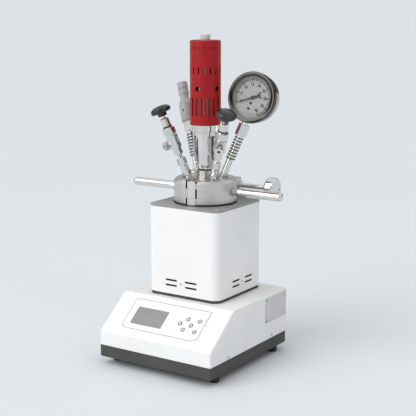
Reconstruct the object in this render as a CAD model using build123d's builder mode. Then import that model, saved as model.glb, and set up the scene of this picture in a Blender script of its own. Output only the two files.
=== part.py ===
from build123d import *

import os
from math import atan2, cos, degrees, pi, radians, sin, sqrt, tan

# Bench hydrothermal reactor: a stirred pressure vessel in a square heater on a control cabinet.
# Millimetres. The origin is on the ground under the middle of the cabinet, +Z up, front at -Y.

# ---- clearances shared by every fit ----
slip = 0.05            # radial clearance of shafts, pins and studs
gap = 0.3              # space between pieces that move past each other

# ---- cabinet ----
cabinet_width = 230.0
cabinet_depth = 247.6
foot_height = 14.0
tray_height = 20.75
front_wall_height = 24.5
cover_height = 79.65
slope_run = 71.2
cabinet_round = 3.0
bend_round = 8.0
tray_wall = 2.0
cover_wall = 1.5
lip_height = 11.0
lip_drop = 5.0
rear_inset = 5.0
ledge_depth = 16.0
foot_radius = 9.0
foot_side_inset = 14.0
foot_front_inset = 33.0
foot_back_inset = 25.0

# ---- control panel, measured up the slope from its lower bend ----
panel_width = 158.0
panel_low = 15.2
panel_high = 79.8
panel_shift = -1.0
panel_corner_x = 9.0
panel_corner_y = 6.0
overlay_thickness = 0.8
display_width = 64.0
display_height = 35.5
display_place = (-33.0, 45.0)
key_places = {
    "key_up": (42.2, 56.2),
    "key_down": (42.2, 34.1),
    "key_left": (31.0, 45.1),
    "key_right": (53.2, 45.1),
    "key_start": (65.6, 56.2),
    "key_stop": (65.6, 34.1),
}
key_radius = 4.2
key_proud = 0.8
key_travel = 0.6
key_flange = 1.2
board_depth = 10.4
board_thickness = 1.6
switch_side = 6.0
switch_height = 4.0

# ---- rear of the cabinet ----
module_place = (60.0, 74.0)
module_width = 30.0
module_height = 58.0
module_depth = 24.0
inlet_width = 24.5
inlet_height = 17.0
inlet_reach = 17.0
inlet_drop = 13.0
rocker_rise = 15.5
rocker_width = 13.0
rocker_radius = 10.0
rocker_tilt = 10.0
vent_count = 7
vent_pitch = 8.0
nameplate_width = 71.0
nameplate_height = 44.5
nameplate_inset = 38.1
nameplate_height_up = 87.7
nameplate_thickness = 0.8
supply_place = (-40.0, 40.0)
supply_width = 100.0
supply_depth = 70.0
supply_height = 32.0

# ---- heater ----
reactor_y = 34.4
pad_thickness = 5.2
heater_side = 146.8
heater_round = 16.0
heater_height = 151.8
shell_wall = 1.5
plate_thickness = 3.0
slot_length = 24.2
slot_width = 3.3
slot_rows = (15.1, 24.3)
slot_offset = 20.4
front_slot_shift = -2.2
side_slot_shift = 6.0
post_radius = 4.0
post_inset = 10.35
jacket_play = 4.65
jacket_floor = 14.4
band_wall = 3.2
band_low = 30.4
band_height = 100.0
block_wall = 14.0
plate_bore = 41.0

# ---- vessel and lid ----
vessel_stand = 22.2
vessel_bore = 28.0
vessel_wall = 10.0
vessel_depth = 122.0
vessel_floor = 12.0
flange_radius = 46.0
flange_height = 12.1
boss_radius = 39.0
boss_height = 7.9
spigot_depth = 4.0
seal_inner = 31.0
seal_width = 4.0
seal_depth = 2.0
can_socket_depth = 9.6

# ---- clamp ring ----
ring_radius = 55.2
lower_lip = 8.2
upper_lip = 8.3
ring_chamfer = 4.0
ring_play = 0.6
leaf_below = 8.45
leaf_above = 7.75
knuckle_angle = -82.9
knuckle_inset = 8.0
knuckle_radius = 7.8
apron_radius = 10.8
apron_wall = 3.4
leaf_gap = 1.8
ring_gap = 2.0
pin_radius = 3.0
lug_proud = 20.8
lug_root = 5.2
lug_length = 28.0
lug_height = 26.0
screw_inset = 10.0
screw_radius = 4.4
nose_radius = 3.4
nose_length = 8.0
nose_play = 1.25
collar_radius = 8.0
collar_length = 5.0
knob_radius = 19.3
shank_length = 53.0
knob_length = 18.0
handle_reach = 155.0
handle_radius = 7.5
handle_root_radius = 5.4
handle_taper = 17.0
spot_radius = 9.0
spot_depth = 1.7
stud_radius = 4.0
stud_length = 4.4

# ---- magnetic drive ----
can_radius = 9.6
can_wall = 1.4
neck_height = 12.4
neck_flats = 20.0
can_flange_radius = 10.6
can_flange = 4.0
can_height = 55.0
rotor_gap = 0.4
rotor_wall = 5.0
inner_rotor_rise = 7.0
inner_rotor_length = 44.0
outer_rotor_rise = 5.6
outer_rotor_length = 56.0
housing_floor = 5.0
housing_collar = 11.6
housing_collar_height = 3.0
housing_low_radius = 16.5
housing_mid_radius = 20.8
housing_top_radius = 21.9
housing_wall = 2.6
housing_height = 65.3
housing_flange = 11.4
housing_flange_radius = 25.0
window_width = 13.0
window_rise = 8.5
window_height = 50.0
window_angle = -21.0
shaft_radius = 4.0
shaft_tip = 2.0
impeller_rise = 25.4
impeller_height = 12.0
impeller_radius = 20.0
impeller_hub = 7.5
blade_thickness = 2.0
spindle_radius = 3.0
cover_radius = 26.8
cover_thickness = 2.0
motor_cover_height = 144.5
cover_spigot = 3.2
motor_radius = 21.0
motor_headroom = 24.2
vents_round = 16
small_hole_radius = 1.25
small_hole_drop = 12.8
short_slot = (2.6, 11.9)
short_slot_drop = 51.0
long_slot = (3.4, 30.2)
long_slot_rise = 31.9
side_hole_radius = 4.3
side_hole_rise = 62.5
short_angle = -60.7
long_angle = -67.8
side_hole_angles = (-86.7, -8.3, 93.3, 171.7)
connector_radius = 8.5
connector_height = 9.5

# ---- ports and fittings ----
port_radius = 29.5
port_lean = 22.5
port_depth = 8.0
thread_radius = 5.0
duct_radius = 2.0
right_port, gauge_port, rear_port, sensor_port, left_port, front_port = -30, 30, 90, 150, 210, 270

# ---- needle valves, heights along the leaning axis ----
valve_stem_radius = 3.0
valve_bore_radius = 3.06
valve_lift = 2.0
valve_seat = 64.0
branch_height = 66.0
branch_reach = 21.0
branch_turn = 30.0
branch_bore = 2.5
grip_low = 122.0
grip_height = 12.4
grip_radius = 18.2
grip_rim = 6.8
hub_low = 116.0
guard_top = 112.0
hub_radius = 8.0

# ---- pressure gauge ----
gauge_height = 150.0
gauge_forward = 20.0
gauge_heading = -88.0
bezel_radius = 44.3
bezel_depth = 10.2
bezel_lip = 8.2
bezel_rim = 3.6
case_radius = 41.5
case_wall = 2.0
case_depth = 30.0
glass_thickness = 2.0
dial_depth = 8.0
dial_thickness = 1.0
pointer_length = 33.0
pointer_tail = 13.0
pointer_zero = 217.0
pointer_pin = 1.5
fin_count = 8
fin_pitch = 5.44
fin_thickness = 2.0
fin_radius = 8.2
fin_core = 5.2
gauge_fins_low = 36.5

# ---- pressure sensor ----
sensor_fins_low = 36.0
sensor_hex_low = 81.0
sensor_body_low = 99.5
sensor_body_high = 144.0
sensor_radius = 12.6
sensor_top = 172.4
sensor_plug_radius = 9.4

# ---- derived places ----
tray_top = foot_height + tray_height
slope_low = tray_top + front_wall_height
cabinet_top = tray_top + cover_height
front_y = -cabinet_depth / 2
back_y = cabinet_depth / 2
slope_angle = atan2(cabinet_top - slope_low, slope_run)
pad_top = cabinet_top + pad_thickness
shell_top = pad_top + heater_height
plate_top = shell_top + plate_thickness
post_place = heater_side / 2 - post_inset
jacket_radius = heater_side / 2 - shell_wall - jacket_play
split_height = plate_top + vessel_stand
vessel_radius = vessel_bore + vessel_wall
vessel_low = split_height - vessel_depth - vessel_floor
flange_top = split_height + flange_height
flange_low = split_height - flange_height
lid_top = flange_top + boss_height
lip_radius = boss_radius + ring_play
groove_radius = flange_radius + ring_play
ring_low = flange_low - lower_lip
ring_high = flange_top + upper_lip
knuckle_low = split_height - leaf_below
knuckle_high = split_height + leaf_above
knuckle_centre = ring_radius - knuckle_inset
lug_reach = ring_radius + lug_proud
screw_y = lug_reach - screw_inset
collar_start = ring_gap / 2 + lug_length
knob_start = collar_start + collar_length + shank_length
spot_x = ring_radius - spot_depth
block_radius = vessel_radius + gap + block_wall
band_radius = block_radius + gap
pin_x = knuckle_centre * cos(radians(knuckle_angle))
pin_y = reactor_y + knuckle_centre * sin(radians(knuckle_angle))
neck_top = lid_top + neck_height
can_base = neck_top + can_flange
can_bore = can_radius - can_wall
inner_rotor_low = can_base + inner_rotor_rise
inner_rotor_high = inner_rotor_low + inner_rotor_length
outer_rotor_low = can_base + outer_rotor_rise
outer_rotor_high = outer_rotor_low + outer_rotor_length
housing_flange_low = can_base + housing_height
housing_flange_high = housing_flange_low + housing_flange
cover_top = housing_flange_high + motor_cover_height
motor_top = cover_top - motor_headroom
impeller_low = vessel_low + vessel_floor + impeller_rise
shaft_low = impeller_low - shaft_tip
rotor_inner = can_radius + rotor_gap
rotor_radius = rotor_inner + rotor_wall

column = Plane(origin=(0, reactor_y, 0), x_dir=(1, 0, 0), z_dir=(0, 0, 1))
slope = Plane(
    origin=(0, front_y, slope_low),
    x_dir=(1, 0, 0),
    z_dir=(0, -sin(slope_angle), cos(slope_angle)),
)
rear = Plane(origin=(0, back_y - rear_inset, 0), x_dir=(-1, 0, 0), z_dir=(0, 1, 0))


def port_plane(angle):
    # A plane at a lid port: local z leans outward, local x points outward and down.
    turn, lean = radians(angle), radians(port_lean)
    return Plane(
        origin=(port_radius * cos(turn), reactor_y + port_radius * sin(turn), lid_top),
        x_dir=(cos(lean) * cos(turn), cos(lean) * sin(turn), -sin(lean)),
        z_dir=(sin(lean) * cos(turn), sin(lean) * sin(turn), cos(lean)),
    )


def outline(plane, points):
    # The closed shape through (radius, height) points, on the half plane beside a plane's z axis.
    side = Plane(origin=plane.origin, x_dir=plane.x_dir, z_dir=-plane.y_dir)
    with BuildSketch(side) as shape:
        with BuildLine():
            Polyline(*points, close=True)
        make_face()
    return shape.sketch


def spin(plane, points, mode=Mode.ADD):
    revolve(outline(plane, points), axis=Axis(plane.origin, plane.z_dir), mode=mode)


def bar(plane, radius, start, end, mode=Mode.ADD):
    # A round bar along a plane's z axis, from one height to another.
    with BuildSketch(plane.offset(start)) as round_end:
        Circle(radius)
    extrude(round_end.sketch, amount=end - start, mode=mode)


def hexagon(plane, flats, start, end):
    with BuildSketch(plane.offset(start)) as nut_end:
        RegularPolygon(radius=flats / 2, side_count=6, major_radius=False)
    extrude(nut_end.sketch, amount=end - start)


def finish(part, name):
    part.label = name
    export_step(part, f"parts/{name}.step")


def cabinet_points(inset):
    # The cabinet's side view, every wall moved inward by the inset and the base left open.
    rise = cabinet_top - slope_low
    low_z = slope_low + (inset - inset * sin(slope_angle)) * rise / slope_run - inset * cos(slope_angle)
    bend_y = front_y + inset * sin(slope_angle)
    bend_y += (rise - inset + inset * cos(slope_angle)) * slope_run / rise
    return [(front_y + inset, tray_top), (front_y + inset, low_z), (bend_y, cabinet_top - inset),
            (back_y, cabinet_top - inset), (back_y, tray_top)]


os.makedirs("parts", exist_ok=True)

# ================= cabinet =================

with BuildPart() as base_tray:
    with BuildSketch(Plane.XY.offset(foot_height)):
        RectangleRounded(cabinet_width, cabinet_depth, cabinet_round)
    extrude(amount=tray_height)
    with BuildSketch(Plane.XY.offset(foot_height + tray_wall)):
        Rectangle(cabinet_width - 2 * tray_wall, cabinet_depth - 2 * tray_wall)
    extrude(amount=tray_height, mode=Mode.SUBTRACT)
    # lip inside the cover on the front and both sides, ledge under the rear panel
    lip_inset = cover_wall + slip
    with BuildSketch(Plane.XY.offset(tray_top - lip_drop)):
        Rectangle(cabinet_width - 2 * lip_inset, cabinet_depth - 2 * lip_inset)
        Rectangle(
            cabinet_width - 2 * lip_inset - 2 * tray_wall,
            cabinet_depth - 2 * lip_inset - 2 * tray_wall,
            mode=Mode.SUBTRACT,
        )
        with Locations((0, back_y)):
            Rectangle(cabinet_width, 2 * ledge_depth, mode=Mode.SUBTRACT)
    extrude(amount=lip_drop + lip_height)
    with BuildSketch(Plane.XY.offset(tray_top - tray_wall)):
        with Locations((0, back_y - ledge_depth / 2)):
            Rectangle(cabinet_width - 2 * tray_wall, ledge_depth)
    extrude(amount=tray_wall)

finish(base_tray.part, "base_tray")

foot_x = cabinet_width / 2 - foot_side_inset
foot_places = [(x, y) for x in (-foot_x, foot_x) for y in (front_y + foot_front_inset, back_y - foot_back_inset)]

with BuildPart() as base_feet:
    for place in foot_places:
        spin(Plane(origin=(place[0], place[1], 0)), [
            (0, 0), (foot_radius - 1.5, 0), (foot_radius - 1, 1), (foot_radius, foot_height), (0, foot_height),
        ])

finish(base_feet.part, "base_feet")

with BuildPart() as base_cover:
    with BuildSketch(Plane.YZ.offset(-cabinet_width / 2)) as side_view:
        with BuildLine():
            Polyline(*cabinet_points(0), close=True)
        make_face()
        bends = side_view.vertices().sort_by(Axis.Y)
        fillet([v for v in bends if slope_low - 1 < v.Z < slope_low + 1], bend_round)
        fillet([v for v in side_view.vertices() if v.Z > cabinet_top - 1 and v.Y < 0], bend_round)
    extrude(amount=cabinet_width)
    side_faces = base_cover.faces().filter_by(Axis.X)
    rim = [e for e in side_faces.edges() if e.center().Z > tray_top + 1 and e.center().Y < back_y - 1]
    fillet(rim, cabinet_round)
    with BuildSketch(Plane.YZ.offset(-cabinet_width / 2 + cover_wall)):
        with BuildLine():
            Polyline(*cabinet_points(cover_wall), close=True)
        make_face()
    extrude(amount=cabinet_width - 2 * cover_wall, mode=Mode.SUBTRACT)
    # window, key holes, and the wire hole under the heater
    with BuildSketch(slope):
        with Locations(display_place):
            Rectangle(display_width + 2 * gap, display_height + 2 * gap)
        with Locations(*key_places.values()):
            Circle(key_radius + gap)
    extrude(amount=-cover_wall - 1, mode=Mode.SUBTRACT)
    bar(column, 18, cabinet_top - cover_wall - 1, cabinet_top + 1, mode=Mode.SUBTRACT)

finish(base_cover.part, "base_cover")

with BuildPart() as panel_overlay:
    panel_left = panel_shift - panel_width / 2
    panel_right = panel_shift + panel_width / 2
    with BuildSketch(slope):
        with BuildLine():
            Polyline(
                (panel_left, panel_high), (panel_right, panel_high),
                (panel_right, panel_low + panel_corner_y), (panel_right - panel_corner_x, panel_low),
                (panel_left + panel_corner_x, panel_low), (panel_left, panel_low + panel_corner_y),
                close=True,
            )
        make_face()
        with Locations(display_place):
            Rectangle(display_width + 2 * gap, display_height + 2 * gap, mode=Mode.SUBTRACT)
        with Locations(*key_places.values()):
            Circle(key_radius + gap, mode=Mode.SUBTRACT)
    extrude(amount=overlay_thickness)

finish(panel_overlay.part, "panel_overlay")

key_low = -cover_wall - gap - key_flange
stem_low = -board_depth + switch_height + key_travel + gap

for key_name, place in key_places.items():
    key_plane = Plane(slope.from_local_coords((place[0], place[1], 0)), x_dir=slope.x_dir, z_dir=slope.z_dir)
    with BuildPart() as panel_key:
        spin(key_plane, [
            (0, stem_low), (1.8, stem_low), (1.8, key_low), (key_radius + 1.2, key_low),
            (key_radius + 1.2, key_low + key_flange), (key_radius, key_low + key_flange),
            (key_radius, overlay_thickness + key_proud - 0.5), (key_radius - 0.5, overlay_thickness + key_proud),
            (0, overlay_thickness + key_proud),
        ])
    finish(panel_key.part, key_name)

board_low = panel_low - 5
board_middle = (board_low + panel_high) / 2

with BuildPart() as control_board:
    with BuildSketch(slope.offset(-board_depth - board_thickness)):
        with Locations((panel_shift, board_middle)):
            RectangleRounded(panel_width, panel_high - board_low, 4)
    extrude(amount=board_thickness)
    with BuildSketch(slope.offset(-board_depth)):
        with Locations(*key_places.values()):
            Rectangle(switch_side, switch_side)
    extrude(amount=switch_height)
    # four pillars that hang the board from the cover
    with BuildSketch(slope.offset(-board_depth)):
        with Locations((panel_shift, board_middle)):
            with GridLocations(panel_width - 12, panel_high - board_low - 12, 2, 2):
                Circle(2.5)
    extrude(amount=board_depth - cover_wall)

finish(control_board.part, "control_board")

with BuildPart() as display_module:
    with BuildSketch(slope.offset(-board_depth)):
        with Locations(display_place):
            Rectangle(display_width + 8, display_height + 10)
    extrude(amount=board_depth - cover_wall - gap)
    with BuildSketch(slope.offset(-cover_wall - gap)):
        with Locations(display_place):
            Rectangle(display_width, display_height)
    extrude(amount=cover_wall + gap + overlay_thickness - 0.2)

finish(display_module.part, "display_module")

plate_plane = Plane(
    origin=(cabinet_width / 2, back_y - nameplate_inset, nameplate_height_up), x_dir=(0, 1, 0), z_dir=(1, 0, 0)
)
rivet_x = nameplate_width / 2 - 4.5
rivet_y = nameplate_height / 2 - 4.2
side_screw_places = [(-69.9, 38.9), (72.6, 39.8)]

with BuildPart() as nameplate:
    with BuildSketch(plate_plane):
        RectangleRounded(nameplate_width, nameplate_height, 1.5)
        with GridLocations(2 * rivet_x, 2 * rivet_y, 2, 2):
            Circle(1.5 + slip, mode=Mode.SUBTRACT)
    extrude(amount=nameplate_thickness)

finish(nameplate.part, "nameplate")

with BuildPart() as cabinet_screws:
    # plate rivets, then the two cover screws of each side
    with BuildSketch(plate_plane):
        with GridLocations(2 * rivet_x, 2 * rivet_y, 2, 2):
            Circle(1.5)
    extrude(amount=nameplate_thickness)
    with BuildSketch(plate_plane.offset(nameplate_thickness)):
        with GridLocations(2 * rivet_x, 2 * rivet_y, 2, 2):
            Circle(2.2)
    extrude(amount=0.8)
    for side in (-1, 1):
        for place in side_screw_places:
            screw = Plane(origin=(side * cabinet_width / 2, place[0], place[1]), x_dir=(0, 1, 0), z_dir=(side, 0, 0))
            bar(screw, 2.6, 0, 1.2)

finish(cabinet_screws.part, "cabinet_screws")

module_plane = Plane(
    rear.from_local_coords((-module_place[0], module_place[1], 0)), x_dir=rear.x_dir, z_dir=rear.z_dir
)

with BuildPart() as rear_panel:
    with BuildSketch(rear.offset(-cover_wall)):
        with Locations((0, (tray_top + cabinet_top - cover_wall - slip) / 2)):
            Rectangle(cabinet_width - 2 * cover_wall - 2 * slip, cabinet_top - cover_wall - slip - tray_top)
        with Locations((-module_place[0], module_place[1])):
            Rectangle(module_width - 3, module_height - 4, mode=Mode.SUBTRACT)
        with Locations((module_place[0], module_place[1])):
            with GridLocations(vent_pitch, 1, vent_count, 1):
                SlotOverall(34, 3.4, rotation=90, mode=Mode.SUBTRACT)
    extrude(amount=cover_wall)
    with BuildSketch(Plane.XY.offset(tray_top)):
        with Locations((0, back_y - rear_inset - 5)):
            Rectangle(cabinet_width - 2 * cover_wall - 2 * slip - 6, 10)
    extrude(amount=cover_wall)

finish(rear_panel.part, "rear_panel")

flange_out = 3.0
rocker_pivot = -3.4

with BuildPart() as power_inlet:
    # mains socket below, frame of the rocker switch above
    with BuildSketch(module_plane):
        RectangleRounded(module_width, module_height, 3)
    extrude(amount=flange_out)
    with BuildSketch(module_plane):
        Rectangle(module_width - 3.4, module_height - 4.4)
    extrude(amount=-module_depth)
    with BuildSketch(module_plane.offset(flange_out)):
        with Locations((0, -inlet_drop)):
            Rectangle(inlet_width, inlet_height)
    extrude(amount=-inlet_reach, mode=Mode.SUBTRACT)
    with BuildSketch(module_plane.offset(flange_out - inlet_reach)):
        with Locations((-7, -inlet_drop - 2), (7, -inlet_drop - 2), (0, -inlet_drop + 2)):
            Rectangle(2, 4)
    extrude(amount=inlet_reach - 6)
    with BuildSketch(module_plane.offset(flange_out)):
        with Locations((0, rocker_rise)):
            Rectangle(rocker_width + 2 * gap, 2 * (rocker_radius + gap))
    extrude(amount=-inlet_reach, mode=Mode.SUBTRACT)
    pivot_plane = Plane(
        module_plane.from_local_coords((0, rocker_rise, rocker_pivot)), x_dir=(0, 0, 1), z_dir=module_plane.x_dir
    )
    bar(pivot_plane, 1.5, -rocker_width / 2 - 1, rocker_width / 2 + 1)

finish(power_inlet.part, "power_inlet")

with BuildPart() as rocker_switch:
    # a round-backed key on a pin, its two faces meeting in a shallow valley
    face_reach = 6.0
    with BuildSketch(pivot_plane.offset(-rocker_width / 2)) as rocker_side:
        Circle(rocker_radius)
        with BuildLine():
            Polyline(
                (-15, face_reach + 15 * tan(radians(rocker_tilt))), (0, face_reach),
                (15, face_reach + 15 * tan(radians(rocker_tilt))), (15, 20), (-15, 20), close=True,
            )
        make_face(mode=Mode.SUBTRACT)
        with Locations((0, -rocker_radius)):
            Rectangle(30, rocker_radius, mode=Mode.SUBTRACT)
        Circle(1.5 + slip, mode=Mode.SUBTRACT)
    extrude(rocker_side.sketch.rotate(Axis(pivot_plane.origin, pivot_plane.z_dir), rocker_tilt), amount=rocker_width)

finish(rocker_switch.part, "rocker_switch")

with BuildPart() as power_supply:
    # caged supply on the tray floor: base case with a raised lid
    supply_floor = foot_height + tray_wall
    with BuildSketch(Plane.XY.offset(supply_floor)):
        with Locations(supply_place):
            Rectangle(supply_width, supply_depth)
    extrude(amount=supply_height)
    with BuildSketch(Plane.XY.offset(supply_floor + supply_height)):
        with Locations(supply_place):
            Rectangle(supply_width - 16, supply_depth - 10)
    extrude(amount=3)

finish(power_supply.part, "power_supply")

# ================= heater =================

slot_planes = (
    (Plane(origin=(0, reactor_y, pad_top), x_dir=(1, 0, 0), z_dir=(0, -1, 0)), front_slot_shift),
    (Plane(origin=(0, reactor_y, pad_top), x_dir=(0, 1, 0), z_dir=(1, 0, 0)), side_slot_shift),
)
post_places = [(sx * post_place, sy * post_place) for sx in (-1, 1) for sy in (-1, 1)]
slot_screw_height = (slot_rows[0] + slot_rows[1]) / 2

with BuildPart() as heater_pad:
    with BuildSketch(column.offset(cabinet_top)):
        RectangleRounded(heater_side - 1.6, heater_side - 1.6, heater_round - 0.8)
        Circle(18, mode=Mode.SUBTRACT)
    extrude(amount=pad_thickness)

finish(heater_pad.part, "heater_pad")

with BuildPart() as heater_shell:
    inner_side = heater_side - 2 * shell_wall
    with BuildSketch(column.offset(pad_top)):
        RectangleRounded(heater_side, heater_side, heater_round)
    extrude(amount=heater_height)
    with BuildSketch(column.offset(pad_top + shell_wall)):
        RectangleRounded(inner_side, inner_side, heater_round - shell_wall)
    extrude(amount=heater_height, mode=Mode.SUBTRACT)
    with BuildSketch(column.offset(pad_top)):
        Circle(jacket_radius + gap)
    extrude(amount=2 * shell_wall, mode=Mode.SUBTRACT)
    # corner posts for the lid screws
    with BuildSketch(column.offset(pad_top)):
        with Locations(*post_places):
            Circle(post_radius)
            Circle(1.6, mode=Mode.SUBTRACT)
    extrude(amount=heater_height)
    for face, shift in slot_planes:
        with BuildSketch(face) as slots:
            with Locations(*[(shift + s * slot_offset, row) for s in (-1, 1) for row in slot_rows]):
                SlotOverall(slot_length, slot_width)
            with Locations((shift, slot_screw_height)):
                Circle(1.5 + slip)
        extrude(slots.sketch, amount=heater_side, both=True, mode=Mode.SUBTRACT)

finish(heater_shell.part, "heater_shell")

with BuildPart() as heater_top_plate:
    with BuildSketch(column.offset(shell_top)):
        RectangleRounded(heater_side, heater_side, heater_round)
        Circle(plate_bore, mode=Mode.SUBTRACT)
        with Locations(*post_places):
            Circle(1.6, mode=Mode.SUBTRACT)
    extrude(amount=plate_thickness)

finish(heater_top_plate.part, "heater_top_plate")

with BuildPart() as heater_screws:
    for place in post_places:
        screw = Plane(origin=(place[0], reactor_y + place[1], plate_top))
        spin(screw, [(0, -12), (1.55, -12), (1.55, 0), (2.8, 0), (2.8, 0.8), (1.8, 1.6), (0, 1.6)])
    for face, shift in slot_planes:
        for side in (-1, 1):
            place = face.from_local_coords((shift, slot_screw_height, side * heater_side / 2))
            screw = Plane(origin=place, x_dir=face.x_dir, z_dir=face.z_dir * side)
            spin(screw, [(0, -shell_wall), (1.5, -shell_wall), (1.5, 0), (2.2, 0), (1.6, 1), (0, 1)])

finish(heater_screws.part, "heater_screws")

jacket_bore = band_radius + band_wall + gap
block_low = pad_top + jacket_floor

with BuildPart() as heater_jacket:
    spin(column, [
        (18, pad_top), (jacket_radius, pad_top), (jacket_radius, shell_top - gap),
        (jacket_bore, shell_top - gap), (jacket_bore, block_low), (18, block_low),
    ])

finish(heater_jacket.part, "heater_jacket")

with BuildPart() as heater_block:
    well_radius = vessel_radius + gap
    spin(column, [
        (0, block_low), (block_radius, block_low), (block_radius, shell_top - 3), (well_radius, shell_top - 3),
        (well_radius, vessel_low), (0, vessel_low),
    ])
    bar(Plane(origin=(0, reactor_y + well_radius + block_wall / 2, 0)), 2.1, vessel_low, shell_top, Mode.SUBTRACT)

finish(heater_block.part, "heater_block")

with BuildPart() as band_heater:
    # a clamped band, open along a slit at the back with an ear on each side of it
    with BuildSketch(column.offset(pad_top + band_low)):
        Circle(band_radius + band_wall)
        Circle(band_radius, mode=Mode.SUBTRACT)
        with Locations((0, band_radius)):
            Rectangle(5, 3 * band_wall, mode=Mode.SUBTRACT)
    extrude(amount=band_height)

finish(band_heater.part, "band_heater")

# ================= vessel, lid and clamp =================

hinge = Plane(origin=(pin_x, pin_y, 0))
clamp_front = (pin_x, pin_y - reactor_y)

with BuildPart() as vessel:
    spin(column, [
        (0, vessel_low), (vessel_radius, vessel_low), (vessel_radius, flange_low), (flange_radius, flange_low),
        (flange_radius, split_height), (vessel_bore, split_height), (vessel_bore, vessel_low + vessel_floor),
        (0, vessel_low + vessel_floor),
    ])
    round_edges = vessel.edges().filter_by(GeomType.CIRCLE).sort_by(Axis.Z)
    fillet(round_edges[0], vessel_wall * 0.8)
    floor_edge = [
        e for e in vessel.edges().filter_by(GeomType.CIRCLE)
        if abs(e.center().Z - vessel_low - vessel_floor) < 0.01 and abs(e.radius - vessel_bore) < 0.01
    ]
    fillet(floor_edge, vessel_wall * 0.8)
    bar(hinge, knuckle_radius + gap, flange_low - 1, split_height + 1, mode=Mode.SUBTRACT)

finish(vessel.part, "vessel")

with BuildPart() as seal_ring:
    spin(column, [
        (seal_inner + slip, split_height), (seal_inner + seal_width - slip, split_height),
        (seal_inner + seal_width - slip, split_height + seal_depth), (seal_inner + slip, split_height + seal_depth),
    ])

finish(seal_ring.part, "seal_ring")

with BuildPart() as lid:
    spigot_radius = vessel_bore - gap
    socket_radius = can_radius + slip
    spin(column, [
        (shaft_radius + slip, split_height - spigot_depth), (spigot_radius, split_height - spigot_depth),
        (spigot_radius, split_height), (seal_inner, split_height), (seal_inner, split_height + seal_depth),
        (seal_inner + seal_width, split_height + seal_depth), (seal_inner + seal_width, split_height),
        (flange_radius, split_height), (flange_radius, flange_top),
        (boss_radius, flange_top), (boss_radius, lid_top - 0.8), (boss_radius - 0.8, lid_top),
        (socket_radius, lid_top), (socket_radius, lid_top - can_socket_depth),
        (shaft_radius + slip, lid_top - can_socket_depth),
    ])
    bar(hinge, knuckle_radius + gap, split_height - 1, flange_top + 1, mode=Mode.SUBTRACT)
    for angle in (right_port, gauge_port, rear_port, sensor_port, left_port, front_port):
        port = port_plane(angle)
        bar(port, thread_radius + slip, -port_depth, 3, mode=Mode.SUBTRACT)
        bar(port, duct_radius, -40, 0, mode=Mode.SUBTRACT)

finish(lid.part, "lid")

ring_section = [
    (lip_radius, ring_low), (ring_radius - 1.5, ring_low), (ring_radius, ring_low + 1.5),
    (ring_radius, ring_high - ring_chamfer), (ring_radius - ring_chamfer, ring_high), (lip_radius, ring_high),
    (lip_radius, flange_top + gap), (groove_radius, flange_top + gap), (groove_radius, flange_low - gap),
    (lip_radius, flange_low - gap),
]
band_levels = {"outer": [(ring_low, knuckle_low - gap / 2), (knuckle_high + gap / 2, ring_high)],
               "middle": [(knuckle_low + gap / 2, knuckle_high - gap / 2)]}


def clamp_side(side):
    # The part of the plan in which one half lies, on the side of the hinge line where it swings freely.
    with BuildSketch(column.offset(ring_low)) as region:
        with Locations((clamp_front[0] + side * ring_radius, -ring_radius)):
            Rectangle(2 * ring_radius, 2 * ring_radius)
        with Locations((side * (ring_gap / 2 + ring_radius), ring_radius)):
            Rectangle(2 * ring_radius, 2 * ring_radius)
    return region.sketch


def knuckle(low, high):
    # One leaf of the hinge: a barrel round the pin, with an apron flush with the ring outside it.
    with BuildSketch(column.offset(low)) as leaf:
        with Locations(clamp_front):
            Circle(apron_radius)
        Circle(ring_radius - 0.02, mode=Mode.INTERSECT)
        Circle(ring_radius - apron_wall, mode=Mode.SUBTRACT)
        with Locations(clamp_front):
            Circle(knuckle_radius)
    extrude(leaf.sketch, amount=high - low)


def clamp_half(side, own_levels, other_levels):
    with BuildPart() as half:
        spin(column, ring_section)
        extrude(clamp_side(side), amount=ring_high - ring_low, mode=Mode.INTERSECT)
        # closing lug at the back
        with BuildSketch(column.offset(split_height - lug_height / 2)):
            with Locations((side * (ring_gap + lug_length) / 2, (ring_radius - lug_root + lug_reach) / 2)):
                Rectangle(lug_length, lug_proud + lug_root)
        extrude(amount=lug_height)
        fillet([e for e in half.edges().filter_by(Axis.Z) if e.center().Y > reactor_y + lug_reach - 1], 5)
        # hinge leaves of this half, and room for the leaves of the other
        for low, high in other_levels:
            bar(hinge, apron_radius + leaf_gap, low - gap, high + gap, mode=Mode.SUBTRACT)
        for low, high in own_levels:
            knuckle(low, high)
        bar(hinge, pin_radius + slip, ring_low - 1, ring_high + 1, mode=Mode.SUBTRACT)
        # spot face and threaded hole of the handle
        reach = Plane(origin=(0, reactor_y, split_height), x_dir=(0, side, 0), z_dir=(side, 0, 0))
        bar(reach, spot_radius, spot_x, ring_radius + 2, mode=Mode.SUBTRACT)
        bar(reach, stud_radius + slip, spot_x - stud_length - slip, ring_radius, mode=Mode.SUBTRACT)
        # bore of the closing screw
        across = Plane(origin=(0, reactor_y + screw_y, split_height), x_dir=(0, 1, 0), z_dir=(1, 0, 0))
        if side > 0:
            bar(across, screw_radius + slip, 0, lug_length + 2, mode=Mode.SUBTRACT)
        else:
            bar(across, nose_radius + nose_play, -nose_length - 4, 0, mode=Mode.SUBTRACT)
    return half.part


finish(clamp_half(1, band_levels["outer"], band_levels["middle"]), "clamp_half_right")
finish(clamp_half(-1, band_levels["middle"], band_levels["outer"]), "clamp_half_left")

with BuildPart() as hinge_pin:
    spin(hinge, [
        (0, ring_low - 0.5), (pin_radius, ring_low - 0.5), (pin_radius, ring_high), (pin_radius + 0.8, ring_high),
        (pin_radius + 0.8, ring_high + 0.7), (0, ring_high + 0.7),
    ])

finish(hinge_pin.part, "hinge_pin")

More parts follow.
